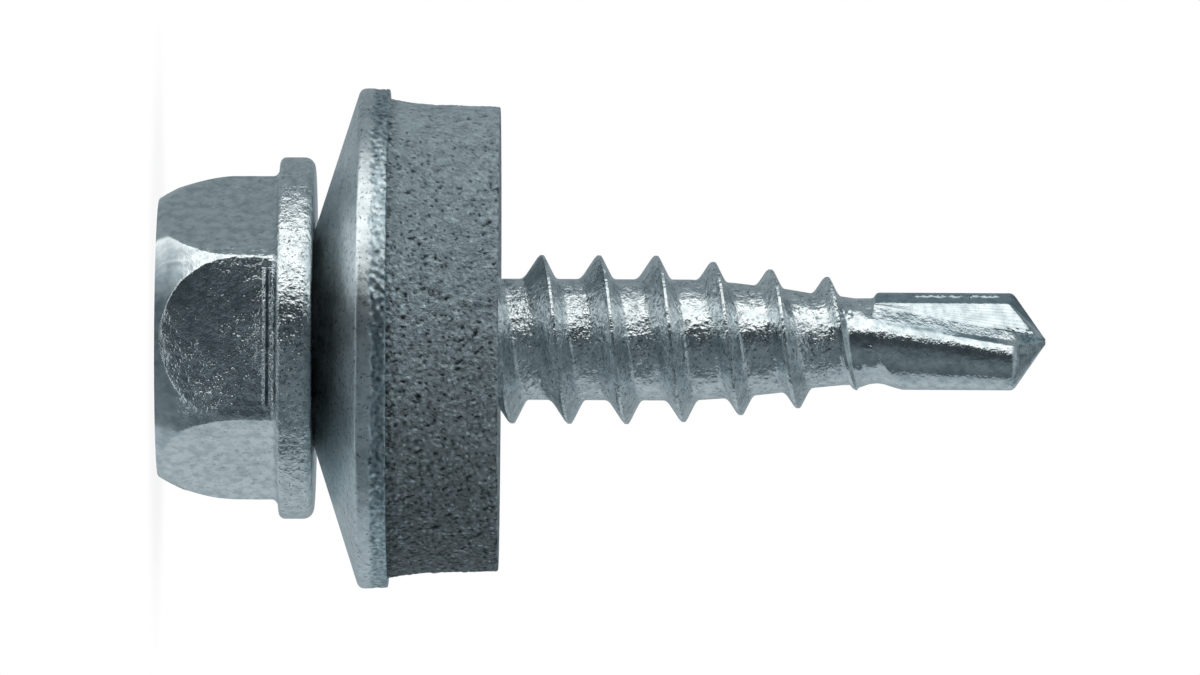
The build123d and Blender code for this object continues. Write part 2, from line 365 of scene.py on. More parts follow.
def collar_rows(side):
    """The half section of the fillet out to the flange's upper face, and half way over that face."""
    rows = []
    for turn in np.linspace(0, pi / 2, 9)[1:]:
        z = mix(FLANGE_Z - COLLAR_HEIGHT, FLANGE_Z, sin(turn))
        rows.append((side + COLLAR_FILLET * (1 - cos(turn)), z))
    rows.append((mix(side + COLLAR_FILLET, FLANGE_RADIUS - UPPER_EDGE, 0.5), FLANGE_Z))
    return rows


def head_rows():
    """The head's half section at each column, from the top's centre to the neck."""
    angles = hexagon_angles()
    side = hexagon_radius(angles)
    rows, flat_z = dome_rows(side)
    middle = step_share(angles)
    first, second = STEPS
    rows += [(side, mix(flat_z, first[0], share)) for share in (0.25, 0.5, 0.75, 1)]
    rows += step_rows(side, first, second[0], middle)
    rows += step_rows(side, second, FLANGE_Z - COLLAR_HEIGHT, middle)
    rows += collar_rows(side)
    rows += arc((FLANGE_RADIUS - UPPER_EDGE, FLANGE_Z + UPPER_EDGE), UPPER_EDGE, -90, 0, 6)
    rows += arc((FLANGE_RADIUS - LOWER_EDGE, BEARING_Z - LOWER_EDGE), LOWER_EDGE, 0, 90, 8)
    rows.append((BEARING_RING, BEARING_Z))
    rows += [(NECK_RADIUS + NECK_FILLET, BEARING_Z), (NECK_RADIUS, BEARING_Z + NECK_FILLET)]
    radii = np.array([np.broadcast_to(radius, COLUMNS) for radius, z in rows], float)
    heights = np.array([np.broadcast_to(z, COLUMNS) for radius, z in rows], float)
    # The columns crowd at the corners as far as the bearing face, and are even from the neck on
    uniform = 2 * pi * np.arange(COLUMNS) / COLUMNS
    under = smooth_step(BEARING_Z - LOWER_EDGE, BEARING_Z + NECK_FILLET, heights)
    under[heights < BEARING_Z - 1e-6] = 0
    return polar(mix(angles, uniform, under), radii, heights)


def core_at(z):
    """The shank's radius between the turns of its thread."""
    return np.interp(z, CORE_Z, CORE_R)


def crest_at(z):
    """The radius of the thread's full crest."""
    return CREST_RADIUS - CREST_TAPER * np.maximum(0, z - CREST_TAPER_Z)


def ridge_height(turn):
    """The thread's height above its core after so many turns: it fades in, and out to a low end."""
    z = THREAD_Z + PITCH * turn
    start = np.sqrt(np.clip(turn / FADE_IN_TURNS, 0, 1))
    end = np.interp(turn - THREAD_TURNS + RUN_OUT_TURNS, FADE_TURNS, FADE_SHARES)
    return (crest_at(z) - core_at(z)) * start * end


def shank_radius(angles, z):
    """The shank's radius, thread and all, at these angles from 0 to a full turn and heights."""
    radius = core_at(z)
    for count in range(THREAD_STRIPS + 1):
        turn = angles / (2 * pi) - 0.5 + count
        height = ridge_height(turn)
        crest_z = THREAD_Z + PITCH * turn
        along = z - crest_z
        top = core_at(crest_z) + height + CREST_ROUNDING / 4
        reach = np.where(along < 0, -along / UPPER_FLANK, along / LOWER_FLANK)
        flank = top - np.maximum(0, reach - CREST_WIDTH / 2 / LOWER_FLANK)
        ridge = soft_min(flank, top, CREST_ROUNDING)
        rounding = np.clip(height / FULL_HEIGHT, 0.05, 1) * ROOT_ROUNDING
        radius = np.where(height > LEAST_HEIGHT, soft_max(radius, ridge, rounding), radius)
    return radius + die_marks(angles, z)


def die_marks(angles, z):
    """The small swellings and dents round the neck, as a change of radius."""
    total = 0
    for angle, place, wide, long, rise in MARKS:
        around = (angles - radians(angle) + pi) % (2 * pi) - pi
        total = total + rise * np.exp(-((around / radians(wide)) ** 2) - ((z - place) / long) ** 2)
    return total


def fill(knots, counts):
    """Rows spaced evenly between neighbouring knots."""
    rows = [knots[0]]
    for start, end, count in zip(knots[:-1], knots[1:], counts):
        rows += [mix(start, end, step / count) for step in range(1, count + 1)]
    return np.array(rows)


def strip_rows(turn, before, after):
    """Heights of a turn's rows for each column, crowded at its crest and feet.

    They start this far before the crest and end this far after it.
    """
    height = ridge_height(turn)
    sides = []
    for bound, flank in ((before, UPPER_FLANK), (after, LOWER_FLANK)):
        foot = CREST_WIDTH / 2 + height * flank
        past_foot = 1.25 * foot + 0.03
        knots = (0 * foot, CREST_WIDTH / 2 + 0 * foot, 0.35 * foot, 0.75 * foot, past_foot, bound)
        sides.append(fill(knots, (1, 2, 3, 4, 4)))
    upper, lower = sides
    return THREAD_Z + PITCH * turn + np.concatenate([-upper[::-1], lower[1:]])


def thread_rows():
    """Rows that climb with the thread, between two level rings.

    Each turn's rows end where the next turn's start. A wedge of rows that opens from nothing leads
    from the first ring into them, and one that closes leads out to the last.
    """
    share = np.arange(COLUMNS) / COLUMNS
    half = PITCH / 2
    room_before = THREAD_Z - half - FIRST_RING_Z
    room_after = LAST_RING_Z - THREAD_Z - PITCH * THREAD_TURNS
    turns = []
    for count in range(THREAD_STRIPS):
        turn = share - 0.5 + count
        before = np.full(COLUMNS, half)
        after = np.full(COLUMNS, half)
        if count == 0:
            before = mix(room_before, half, share)
        if count == THREAD_STRIPS - 1:
            after = mix(half, room_after, share)
        turns.append(strip_rows(turn, before, after))
    start_rows = turns[0][:, 0]
    first_share = (start_rows - start_rows[0]) / (start_rows[-1] - start_rows[0])
    first = FIRST_RING_Z + first_share[:, None] * (turns[0][0] - FIRST_RING_Z)
    end_rows = strip_rows(np.array([THREAD_TURNS]), np.array([half]), np.array([room_after]))[:, 0]
    last_share = (end_rows - end_rows[0]) / (end_rows[-1] - end_rows[0])
    last = turns[-1][-1] + last_share[:, None] * (LAST_RING_Z - turns[-1][-1])
    heights = np.concatenate([first[:-1]] + [rows[:-1] for rows in turns] + [last])
    angles = np.broadcast_to(2 * pi * share, heights.shape)
    return polar(angles, shank_radius(angles, heights), heights), len(last) - 1


def column_number():
    """Each column's place on its lobe and rake face, from the flute's root, and its side."""
    number = (np.arange(COLUMNS) + COLUMNS_TO_ROOT) % COLUMNS
    return number % (COLUMNS // 2), np.where(number < COLUMNS // 2, 1, -1)


def share_after(start, count):
    """How far each column is through the count of columns after this start."""
    number, side = column_number()
    return np.clip((number - start) / count, 0, 1)


def margin_wear(z, margin):
    """How far the low rolled ridge and its uneven burrs stand out along a lobe's margin."""
    burrs = np.maximum(0, np.sin(7 * z) * np.sin(23 * z + 1) + 0.5 * np.sin(41 * z))
    ridge = smooth_step(*RIDGE_START, z) * (1 - smooth_step(*RIDGE_END, z)) * (1 + 0.4 * np.sin(13 * z))
    across = np.exp(-(((margin - MARGIN_CENTRE) / MARGIN_WIDTH) ** 2)) * (margin > 0)
    return (BURR_HEIGHT * burrs + RIDGE_HEIGHT * ridge) * across


def flute_wear(z, share, floor):
    """Streaks along a flute's floor, and small burrs by its root where it nears the tip."""
    number, side = column_number()
    streaks = 0.004 * np.sin(number * 2.1) * np.sin(number * 0.9 + 2 * z) * np.sin(pi * floor)
    burrs = 0.03 * smooth_step(0.68, 0.8, share) * smooth_step(0.6, 0.9, floor)
    return streaks + burrs * np.sin(31 * z) * np.sin(19 * z)


def lobe_points(z):
    """The drill point's outline at each column's own height.

    From a flute's root it goes round a lobe to its outside, over the margin to the cutting edge's
    line, and across the other flute's floor to its root; then the same again, turned over.
    """
    share = (z - POINT_Z) / (TIP_Z - POINT_Z)
    root_x = mix(ROOT_START[0], ROOT_TIP[0], share)
    root_y = mix(ROOT_START[1], ROOT_TIP[1], share)
    edge_y = root_y - (RAKE_EDGE - root_x) * FLOOR_SLOPE
    bend_y = edge_y - (POINT_RADIUS - RAKE_EDGE) * MARGIN_SLOPE
    centre_y = np.minimum(0, bend_y - MARGIN_ROOM)
    wide = POINT_RADIUS + root_x
    radius = (wide + (centre_y + root_y) ** 2 / wide) / 2
    offset = POINT_RADIUS - radius

    number, side = column_number()
    web = mix(WEB_START[0], WEB_TIP[0], share)
    round_x = mix(WEB_START[1], WEB_TIP[1], share) - root_x
    round_y = centre_y - np.sqrt(radius**2 - (round_x - offset) ** 2)
    from_web = np.arctan2(round_y - centre_y, round_x - offset)
    turn = mix(from_web, 0, share_after(WEB_COLUMNS, LOBE_COLUMNS - WEB_COLUMNS))
    x, y = offset + radius * np.cos(turn), centre_y + radius * np.sin(turn)
    across = share_after(0, WEB_COLUMNS * 2 / 3)
    step = share_after(WEB_COLUMNS * 2 / 3, WEB_COLUMNS / 3)
    in_web = number < WEB_COLUMNS
    x = np.where(in_web, mix(across * web - root_x, round_x, step), x)
    y = np.where(in_web, mix(-root_y - across * web * WEB_SLOPE, round_y, step), y)
    margin = share_after(LOBE_COLUMNS, MARGIN_COLUMNS)
    x = (1 - margin**2) * x + margin**2 * RAKE_EDGE
    y = (1 - margin) ** 2 * y + 2 * margin * (1 - margin) * bend_y + margin**2 * edge_y
    y = y + margin_wear(z, margin)
    floor = share_after(LOBE_COLUMNS + MARGIN_COLUMNS, FLOOR_COLUMNS)
    x = mix(x, root_x, floor)
    y = mix(y, root_y, floor) + flute_wear(z, share, floor)
    return side * x, side * y


def shoulder_at(angles, z):
    """The slope from the neck out to the lobes: short and steep on the side of -X, long opposite."""
    share = 0.5 - 0.5 * np.cos(angles)
    start = mix(*SHOULDER_STARTS, share)
    slope = mix(*SHOULDER_SLOPES, share)
    return core_at(z) + slope * np.maximum(0, z - start) + die_marks(angles, z)


def crossing(low, high, inside):
    """For each column, the height where a condition that holds at low stops holding."""
    low = np.full(COLUMNS, float(low))
    high = np.full(COLUMNS, float(high))
    for _ in range(40):
        middle = (low + high) / 2
        holds = inside(middle)
        low = np.where(holds, middle, low)
        high = np.where(holds, high, middle)
    return (low + high) / 2


def outside_shoulder(z):
    """Whether each column's outline is still outside the shoulder's slope."""
    x, y = lobe_points(z)
    return np.hypot(x, y) > shoulder_at(np.arctan2(y, x), z)


def before_tip(z):
    """Whether each column is still before the tip: before the cutting edge where it's in a flute."""
    x, y = lobe_points(z)
    reach, start_z, slope = CUTTING_EDGE
    in_flute = share_after(LOBE_COLUMNS + MARGIN_COLUMNS - 1, 1) > 0
    margin = share_after(LOBE_COLUMNS, MARGIN_COLUMNS)
    corner_z = start_z + (reach - RAKE_EDGE) / slope
    before_edge = np.abs(x) < reach - (z - start_z) * slope
    return np.where(in_flute, before_edge, z < mix(TURN_IN_Z, corner_z, margin))


def tip_rows(before, end):
    """The rounded corner after the last row before it, the cone, and its chisel end."""
    x, y = lobe_points(end)
    angles, reach = np.arctan2(y, x), np.hypot(x, y)
    blunt = np.minimum(reach, CHISEL_RADIUS)
    chisel_z = TIP_Z - CHISEL_HEIGHT
    corner = polar(angles, reach, end)
    cone = polar(angles, mix(reach, blunt, 0.1), mix(end, chisel_z, 0.1))
    rows = [(1 - s) ** 2 * before + 2 * s * (1 - s) * corner + s**2 * cone for s in (0.25, 0.5, 0.75)]
    for share in np.linspace(0.1, 1, 10):
        rows.append(polar(angles, mix(reach, blunt, share), mix(end, chisel_z, share)))
    rows.append(polar(angles, blunt * 0.7, TIP_Z))
    rows.append(polar(angles, 0, TIP_Z))
    return rows


def point_rows():
    """The drill point: shoulder, lobes and flutes, and the cone with its chisel end."""
    start = crossing(POINT_Z, POINT_MIDDLE_Z, outside_shoulder)
    end = crossing(POINT_MIDDLE_Z, TIP_Z - CHISEL_HEIGHT, before_tip)
    uniform = 2 * pi * np.arange(COLUMNS) / COLUMNS
    x, y = lobe_points(start)
    turned = uniform + (np.arctan2(y, x) - uniform + pi) % (2 * pi) - pi
    rows = []
    for share in np.linspace(0, 1, SHOULDER_ROWS + 1)[:-1]:
        z = mix(POINT_Z, start, share)
        angles = mix(uniform, turned, smooth_step(0, 1, share))
        rows.append(polar(angles, shoulder_at(angles, z), z))
    for share in np.linspace(0, 1, POINT_ROWS):
        z = mix(start, end - CORNER_ROUNDING, share)
        x, y = lobe_points(z)
        rows.append(np.stack([x, y, z], axis=-1))
    return np.array(rows + tip_rows(rows[-1], end))


def screw_numbers(row_count, first, last, strip):
    """The screw's grid of point numbers, with one more column that closes each row.

    The rows from the first to the last are the thread's: going round one leads into the row one
    strip further on. The wedge that opens from nothing starts as one point, and so do the head's
    top and the tip.
    """
    rows = np.arange(row_count)
    ids = rows[:, None] * COLUMNS + np.arange(COLUMNS + 1)
    next_row = np.where((rows >= first) & (rows <= last), np.minimum(rows + strip, last), rows)
    ids[:, COLUMNS] = next_row * COLUMNS
    ids[np.isin(ids, (first + np.arange(strip + 1)) * COLUMNS)] = first * COLUMNS
    ids[0] = 0
    ids[-1] = (row_count - 1) * COLUMNS
    return ids


def screw_piece():
    """The whole screw as one closed mesh."""
    head = head_rows()
    thread, strip = thread_rows()
    point = point_rows()
    points = np.concatenate([head, thread, point])
    ids = screw_numbers(len(points), len(head), len(head) + len(thread) - 1, strip)
    shade = np.ones((len(points), COLUMNS))
    lobe_start = len(points) - len(point) + SHOULDER_ROWS
    shade[lobe_start:] = point_shade(points[lobe_start:])
    shade[: len(head)] = groove_shade(points[: len(head)])
    points = head_waves(points, len(head))
    return mesh_piece("screw_body", points.reshape(-1, 3), quads(ids), shade.ravel())


def step_share(angles):
    """1 at the angles where the fine steps are, which is on two flats alone, and 0 elsewhere."""
    return np.where(np.abs(np.sin(angles)) > cos(STEP_HALF_ANGLE), 1.0, 0.0)


def groove_shade(points):
    """The groove between the two fine steps by the collar, darkened with painted shade."""
    first, second = STEPS
    start, end = first[0] + first[1], second[0] + second[1]
    z = points[..., 2]
    groove = smooth_step(start, start + GROOVE_EDGE, z) * (1 - smooth_step(end - GROOVE_EDGE, end, z))
    return 1 - GROOVE_DARKNESS * groove * step_share(np.arctan2(points[..., 1], points[..., 0]))


def point_shade(points):
    """The drill point's shade: painted shade on the margins, along the webs and in a line beside them,
    streaks on the flute floors, and mottle on the lobes that is strongest at the tip.
    """
    number, side = column_number()
    floor = share_after(LOBE_COLUMNS + MARGIN_COLUMNS, FLOOR_COLUMNS)
    margin = share_after(LOBE_COLUMNS - 4, 4) * (floor == 0)
    streaks = 0.12 * np.sin(number * 2.1) + 0.08 * np.sin(number * 3.7)
    web = 0.2 * (1 - smooth_step(8, 12, number))
    web_shade_line = np.exp(-(((number - WEB_COLUMNS * 0.8) / 3.5) ** 2)) * (number < LOBE_COLUMNS)
    mottle = 0.5 * rough(points, 0.16, 41) + 0.5 * rough(points, 0.07, 42)
    row = np.arange(len(points))[:, None]
    along = smooth_step(0, 7, row) * (1 - smooth_step(POINT_ROWS - 9, POINT_ROWS, row))
    broken = 0.55 + 0.35 * rough(points * [1, 1, 0.4], 0.25, 43)
    # Painted shade: the margins 0.35 darker, and each web darker in a band and in a broken line beside it.
    # The flute floors are 0.12 darker on average, with streaks along them.
    shade = 1 - 0.35 * margin + (streaks - 0.12) * smooth_step(0, 0.1, floor)
    shade = shade - along * (web + broken * web_shade_line)
    on_lobe = (number > 0) & (number < LOBE_COLUMNS)
    by_tip = np.where(row >= POINT_ROWS, 0.9, 0.45)
    return np.maximum(shade + mottle * np.where(on_lobe, by_tip, 0.1), 0.1)


def head_waves(points, count):
    """The faint unevenness of a forged head, on its rows down to the flange's upper edge."""
    head = points[: count - UNDER_ROWS]
    shift = 0.007 * rough(head, 0.7, 31) + 0.004 * rough(head, 0.28, 32)
    still = smooth_step(0.02, 0.3, head[..., 2])
    radius = np.hypot(head[..., 0], head[..., 1])
    angles = np.arctan2(head[..., 1], head[..., 0])
    from_corner = (angles + radians(30)) % radians(60) - radians(30)
    on_dome = smooth_step(0.05, 0.1, head[..., 2]) * (1 - smooth_step(0.7, 1.0, head[..., 2]))
    folds = np.exp(-((from_corner / radians(1.1)) ** 2))
    folds = folds - 0.8 * np.exp(-(((from_corner - radians(2)) / radians(1)) ** 2))
    shift = shift + 0.03 * on_dome * folds * (0.6 + rough(head, 0.2, 33))
    scale = 1 + np.where(radius > 0, shift * still / np.maximum(radius, 1e-6), 0)
    head[..., :2] *= scale[..., None]
    return points


# ---------------------------------------------------------------- washer and seal


def lathe_piece(name, section, columns, change):
    """A closed ring turned from its half section; the change moves its points and gives their shade."""
    angles = 2 * pi * np.arange(columns) / columns
    radii = np.array([radius for radius, z in section])[:, None]
    heights = np.array([z for radius, z in section])[:, None]
    points = polar(angles, radii, heights)
    points, values = change(points)
    rows = len(section)
    ids = np.arange(rows)[:, None] * columns + np.arange(columns + 1) % columns
    ids = np.concatenate([ids, ids[:1]])
    return mesh_piece(name, points.reshape(-1, 3), quads(ids), values.ravel())


def washer_top(radius):
    """The height of the dished washer's face on the head's side."""
    return BEARING_Z + (radius - LAND_RADIUS) * tan(DISH)


def washer_underside(radius):
    """The height of its face on the seal's side."""
    return washer_top(radius) + WASHER_THICKNESS / cos(DISH)


def rim_tears(points):
    """The rim's sheared side: smooth where the cut began, torn towards the underside."""
    radius = np.hypot(points[..., 0], points[..., 1])
    angles = np.arctan2(points[..., 1], points[..., 0])
    rim_low = washer_underside(RIM_RADIUS)
    ragged = rough(points * [1, 1, 0], 0.35, 3) * 0.09 + rough(points * [1, 1, 0], 0.12, 5) * 0.07
    torn = smooth_step(rim_low - TEAR_START[0], rim_low - TEAR_START[1], points[..., 2] + ragged)
    torn = torn * smooth_step(RIM_RADIUS - 0.2, RIM_RADIUS - 0.05, radius)
    depth = 0.03 + 0.034 * rough(points, 0.13, 7) + 0.01 * rough(points * [1, 1, 0.4], 0.2, 9)
    moved = radius - torn * depth
    # Darker where torn: partly the duller torn metal, partly painted shade.
    return polar(angles, moved, points[..., 2]), 1 - torn * (0.36 + 0.6 * rough(points, 0.11, 8))


def washer_piece():
    """The dished washer, with the blanked rim that the sheet's cutting leaves."""
    top, low = washer_top(RIM_RADIUS), washer_underside(RIM_RADIUS)
    rim_end = (RIM_RADIUS, low - RIM_LOWER_EDGE)
    lower_land = LAND_RADIUS - WASHER_THICKNESS * tan(DISH / 2)
    bend = BEND_RADIUS * tan(DISH / 2)
    bend_end = (LAND_RADIUS + bend * cos(DISH), BEARING_Z + bend * sin(DISH))
    edge = RIM_UPPER_EDGE * tan(pi / 4 - DISH / 2)
    edge_start = (RIM_RADIUS - edge * cos(DISH), top - edge * sin(DISH))
    section = [(BORE_RADIUS, BEARING_Z), (LAND_RADIUS - bend, BEARING_Z)]
    section += bezier(section[-1], (LAND_RADIUS, BEARING_Z), bend_end, 5)
    section += line(bend_end, edge_start, 14)
    section += bezier(edge_start, (RIM_RADIUS, top), (RIM_RADIUS, top + edge), 8)
    section += line((RIM_RADIUS, top + edge), rim_end, 16)
    section += bezier(rim_end, (RIM_RADIUS, low), (RIM_RADIUS - RIM_LOWER_EDGE, low - 0.03), 5)
    section += [(lower_land, BEARING_Z + WASHER_THICKNESS), (BORE_RADIUS, BEARING_Z + WASHER_THICKNESS)]
    return lathe_piece("dished_washer", section, WASHER_COLUMNS, rim_tears)


def rubber_skin(points):
    """Pits, wrinkles and dusty specks on cast rubber, more wear on the side of +X, and painted shade in the
    pits, by the washer's rim and on the side of +X.
    """
    radius = np.hypot(points[..., 0], points[..., 1])
    angles = np.arctan2(points[..., 1], points[..., 0])
    outside = smooth_step(*SKIN_RADII, radius)
    slanted = polar(angles + 0.07 * points[..., 2], radius, points[..., 2] * 0.6)
    lower = smooth_step(*WRINKLE_HEIGHTS, points[..., 2])
    pits = smooth_step(0.5, 0.56, rough(slanted, 0.13, 24))
    pits = pits + smooth_step(0.5, 0.56, rough(points, 0.07, 25))
    depth = 0.008 * rough(points, 1.4, 21) + 0.02 * rough(points, 0.16, 22)
    depth += 0.016 * rough(points, 0.085, 23) - 0.05 * pits
    depth += 0.02 * lower * rough(points * [1, 1, 0.25], 0.13, 26)
    # Painted shade on the rubber by the washer's rim.
    by_rim = 1 - smooth_step(0, 0.35, points[..., 2] - washer_underside(RIM_RADIUS))
    rim_shade = by_rim * smooth_step(-0.2, 0.3, rough(points, 0.12, 27))
    # Strongest on the side of +X: the rubber's wear and specks there, and painted shade that darkens that
    # side.
    side_wear_and_shade = 0.55 + 0.45 * np.cos(angles)
    depth += 0.02 * side_wear_and_shade * rough(points, 0.1, 28)
    # Light and dark specks, less a constant 0.12 that is painted shade, scaled up towards the side of +X.
    specks_and_shade = 3.6 * np.maximum(0, rough(points, 0.085, 29) - 0.16)
    specks_and_shade = specks_and_shade - 1.4 * np.maximum(0, rough(points, 0.11, 30)) - 0.12
    # Painted shade in the pits, by the washer's rim and on the side of +X, with the specks' own lighter and
    # darker tone.
    shade = 1 + outside * (side_wear_and_shade * specks_and_shade - 0.85 * np.minimum(pits, 1) - 0.5 * rim_shade)
    return polar(angles, radius + outside * depth, points[..., 2]), np.maximum(shade, 0.1)


def seal_piece():
    """The rubber seal, bonded under the washer."""
    bonded_radius = RIM_RADIUS - SEAL_INSET
    bonded_z = washer_underside(bonded_radius)
    wall = (bonded_radius - SEAL_FLARE, bonded_z + SEAL_FLARE_HEIGHT)
    low = washer_underside(RIM_RADIUS) + SEAL_RIM_HEIGHT
    outer = wall[0] - (low - wall[1]) * tan(SEAL_DRAFT)
    contact = outer - SEAL_CONTACT_WIDTH
    bore_low = low - (contact - SEAL_BORE_RADIUS) * tan(DISH)
    lower_land = LAND_RADIUS - WASHER_THICKNESS * tan(DISH / 2)
    washer_z = BEARING_Z + WASHER_THICKNESS
    across, along = SEAL_FLARE_CONTROL
    control_x = wall[0] + SEAL_FLARE_HEIGHT * across * tan(SEAL_DRAFT)
    control = (control_x, bonded_z + SEAL_FLARE_HEIGHT * along)
    section = [(SEAL_BORE_RADIUS, washer_z), (lower_land, washer_z), (bonded_radius, bonded_z)]
    section += bezier(section[-1], control, wall, 30)
    section += line(wall, (outer, low - SEAL_EDGE), 28)
    section += bezier((outer, low - SEAL_EDGE), (outer, low), (outer - SEAL_EDGE, low), 4)
    section += [(contact, low)]
    section += line((contact, low), (SEAL_BORE_RADIUS, bore_low), 6)
    section += line((SEAL_BORE_RADIUS, bore_low), (SEAL_BORE_RADIUS, washer_z), 4)[:-1]
    return lathe_piece("seal_ring", section, SEAL_COLUMNS, rubber_skin)


# ---------------------------------------------------------------- materials


def find_input(node, name):
    """The node's input of this name, or of this number where the name is i0, i1 and so on."""
    if name[0] == "i" and name[1:].isdigit():
        return node.inputs[int(name[1:])]
    return node.inputs[name.replace("_", " ")]


def add(tree, kind, settings=None, **inputs):
    """A new shader node with its settings, and its inputs set to values or linked to sockets."""
    node = tree.nodes.new(kind)
    for name, value in (settings or {}).items():
        setattr(node, name, value)
    for name, value in inputs.items():
        socket = find_input(node, name)
        if isinstance(value, bpy.types.NodeSocket):
            tree.links.new(value, socket)
        else:
            socket.default_value = value
    return node


def calc(tree, operation, first, second):
    """The result of an operation on two numbers or sockets."""
    return add(tree, "ShaderNodeMath", {"operation": operation}, i0=first, i1=second).outputs[0]


def smooth_noise(tree, place, scale, detail, roughness=0.5):
    """Smooth noise at this scale."""
    look = {"Scale": scale, "Detail": detail, "Roughness": roughness}
    return add(tree, "ShaderNodeTexNoise", Vector=place, **look).outputs[0]


def scaled(tree, colour, factor):
    """The colour times a factor."""
    node = add(tree, "ShaderNodeVectorMath", {"operation": "SCALE"}, i0=colour, Scale=factor)
    return node.outputs[0]


def kept_shade(tree):
    """The shade kept at the mesh's points."""
    return add(tree, "ShaderNodeAttribute", {"attribute_name": "shade"}).outputs["Fac"]


def new_material(name):
    """A material with no nodes yet, and its node tree."""
    material = bpy.data.materials.new(name)
    material.use_nodes = True
    material.node_tree.nodes.clear()
    return material, material.node_tree


def ramp(tree, value, *stops):
    """A colour ramp's colour for this value, with stops of (place, grey or colour)."""
    node = add(tree, "ShaderNodeValToRGB", i0=value)
    elements = node.color_ramp.elements
    while len(elements) < len(stops):
        elements.new(0.5)
    for element, (place, colour) in zip(elements, stops):
        element.position = place
        element.color = (colour,) * 3 + (1,) if isinstance(colour, (int, float)) else (*colour, 1)
    return node.outputs[0]


def shaded_and_dulled(tree, colour):
    """The colour darkened by the shade kept at the mesh's points, which is painted shade in some places and
    duller plate in others, and a little bluer there.
    """
    tint = ramp(tree, kept_shade(tree), (0, 0), (0.65, (0.58, 0.66, 0.69)), (1, 1))
    return add(tree, "ShaderNodeVectorMath", {"operation": "MULTIPLY"}, i0=colour, i1=tint).outputs[0]


def grain_share(tree, place):
    """How coarse the plate's bump is by height, without and with the front flat's rougher plate."""
    across, depth, along = add(tree, "ShaderNodeSeparateXYZ", Vector=place).outputs
    grain = ramp(tree, calc(tree, "DIVIDE", along, GRAIN_HEIGHT), *GRAIN_STOPS)
    start, end = FRONT_FLAT
    by_front = add(tree, "ShaderNodeMapRange", i0=depth, i1=start, i2=end, i3=1.7, i4=1.0).outputs[0]
    return grain, calc(tree, "MINIMUM", calc(tree, "MULTIPLY", grain, by_front), 1.0)


def steel_material(name, bright, dull, roughness, bump):
    """Zinc plate: a mottled bump of about a tenth of a millimetre, and patches of duller plate."""
    material, tree = new_material(name)
    place = add(tree, "ShaderNodeTexCoord").outputs["Object"]
    fine = smooth_noise(tree, place, 9000, 2, 0.7)
    broad = smooth_noise(tree, place, 3600, 2)
    patches = smooth_noise(tree, place, 500, 2)
    height = calc(tree, "ADD", fine, calc(tree, "MULTIPLY", broad, 1.8))
    patchy = ramp(tree, patches, (0.35, 0.5), (0.62, 1.0))
    grain, coarser = grain_share(tree, place)
    strength = calc(tree, "MULTIPLY", patchy, coarser)
    relief = add(tree, "ShaderNodeBump", Height=height, Strength=strength, Distance=bump).outputs[0]
    plate = ramp(tree, broad, (0.35, dull), (0.6, bright))
    specks = add(tree, "ShaderNodeMapRange", i0=fine, i1=0.3, i2=0.43, i3=0.7, i4=0).outputs[0]
    clear = calc(tree, "SUBTRACT", 1.0, calc(tree, "MULTIPLY", specks, grain))
    colour = shaded_and_dulled(tree, scaled(tree, plate, clear))
    gloss = ramp(tree, patches, (0.35, roughness * 0.8), (0.7, roughness * 1.2))
    shader = add(
        tree, "ShaderNodeBsdfPrincipled", Base_Color=colour, Metallic=1.0, Roughness=gloss, Normal=relief
    )
    add(tree, "ShaderNodeOutputMaterial", Surface=shader.outputs[0])
    return material


def rubber_material():
    """Grey rubber with a dull skin, by the shade kept at its points: painted shade in pits, by the rim and
    on the side of +X, and lighter and darker specks.
    """
    material, tree = new_material("grey_rubber")
    place = add(tree, "ShaderNodeTexCoord").outputs["Object"]
    fine = smooth_noise(tree, place, 9000, 3, 0.7)
    mixed = calc(tree, "ADD", fine, smooth_noise(tree, place, 3500, 2))
    half = calc(tree, "MULTIPLY", mixed, 0.5)
    grey = ramp(tree, half, (0.36, (0.23, 0.3, 0.33)), (0.62, (0.44, 0.56, 0.61)))
    colour = scaled(tree, grey, kept_shade(tree))
    relief = add(tree, "ShaderNodeBump", Height=mixed, Strength=1.0, Distance=0.0002).outputs[0]
    shader = add(tree, "ShaderNodeBsdfPrincipled", Base_Color=colour, Roughness=0.55, Normal=relief)
    shader.inputs["Specular IOR Level"].default_value = 0.45
    add(tree, "ShaderNodeOutputMaterial", Surface=shader.outputs[0])
    return material


# ---------------------------------------------------------------- camera, floor and light


def add_camera():
    """The photograph's view: square to the axis, with +Z to the right and -X up."""
    camera = bpy.data.objects.new("camera", bpy.data.cameras.new("camera"))
    bpy.context.scene.collection.objects.link(camera)
    camera.data.lens = 400
    camera.data.sensor_width = 36
    camera.data.clip_start = 0.01
    camera.data.clip_end = 5
    across, up, back = Vector((0, 0, 1)), Vector((-1, 0, 0)), Vector((0, -1, 0))
    right = across * cos(CAMERA_TILT) + up * sin(CAMERA_TILT)
    above = up * cos(CAMERA_TILT) - across * sin(CAMERA_TILT)
    turn = Matrix((right, above, back)).transposed().to_4x4()
    camera.matrix_world = Matrix.Translation(CAMERA_PLACE) @ turn
    bpy.context.scene.camera = camera


def seen_share(tree):
    """1 for what the camera, a reflection or a transparent surface sees, and 0 for light that falls."""
    path = add(tree, "ShaderNodeLightPath").outputs
    seen = calc(tree, "MAXIMUM", path["Is Camera Ray"], path["Is Glossy Ray"])
    return calc(tree, "MAXIMUM", seen, path["Is Transmission Ray"])


def add_world():
    """A white surround that lights the object only softly."""
    world = bpy.data.worlds.new("studio")
    world.use_nodes = True
    tree = world.node_tree
    tree.nodes.clear()
    fall = add(tree, "ShaderNodeBackground", Color=(0.9, 0.95, 1, 1), Strength=0.02).outputs[0]
    seen = add(tree, "ShaderNodeBackground", Color=(1, 1, 1, 1), Strength=1.0).outputs[0]
    mixed = add(tree, "ShaderNodeMixShader", i0=seen_share(tree), i1=fall, i2=seen).outputs[0]
    add(tree, "ShaderNodeOutputWorld", Surface=mixed)
    bpy.context.scene.world = world


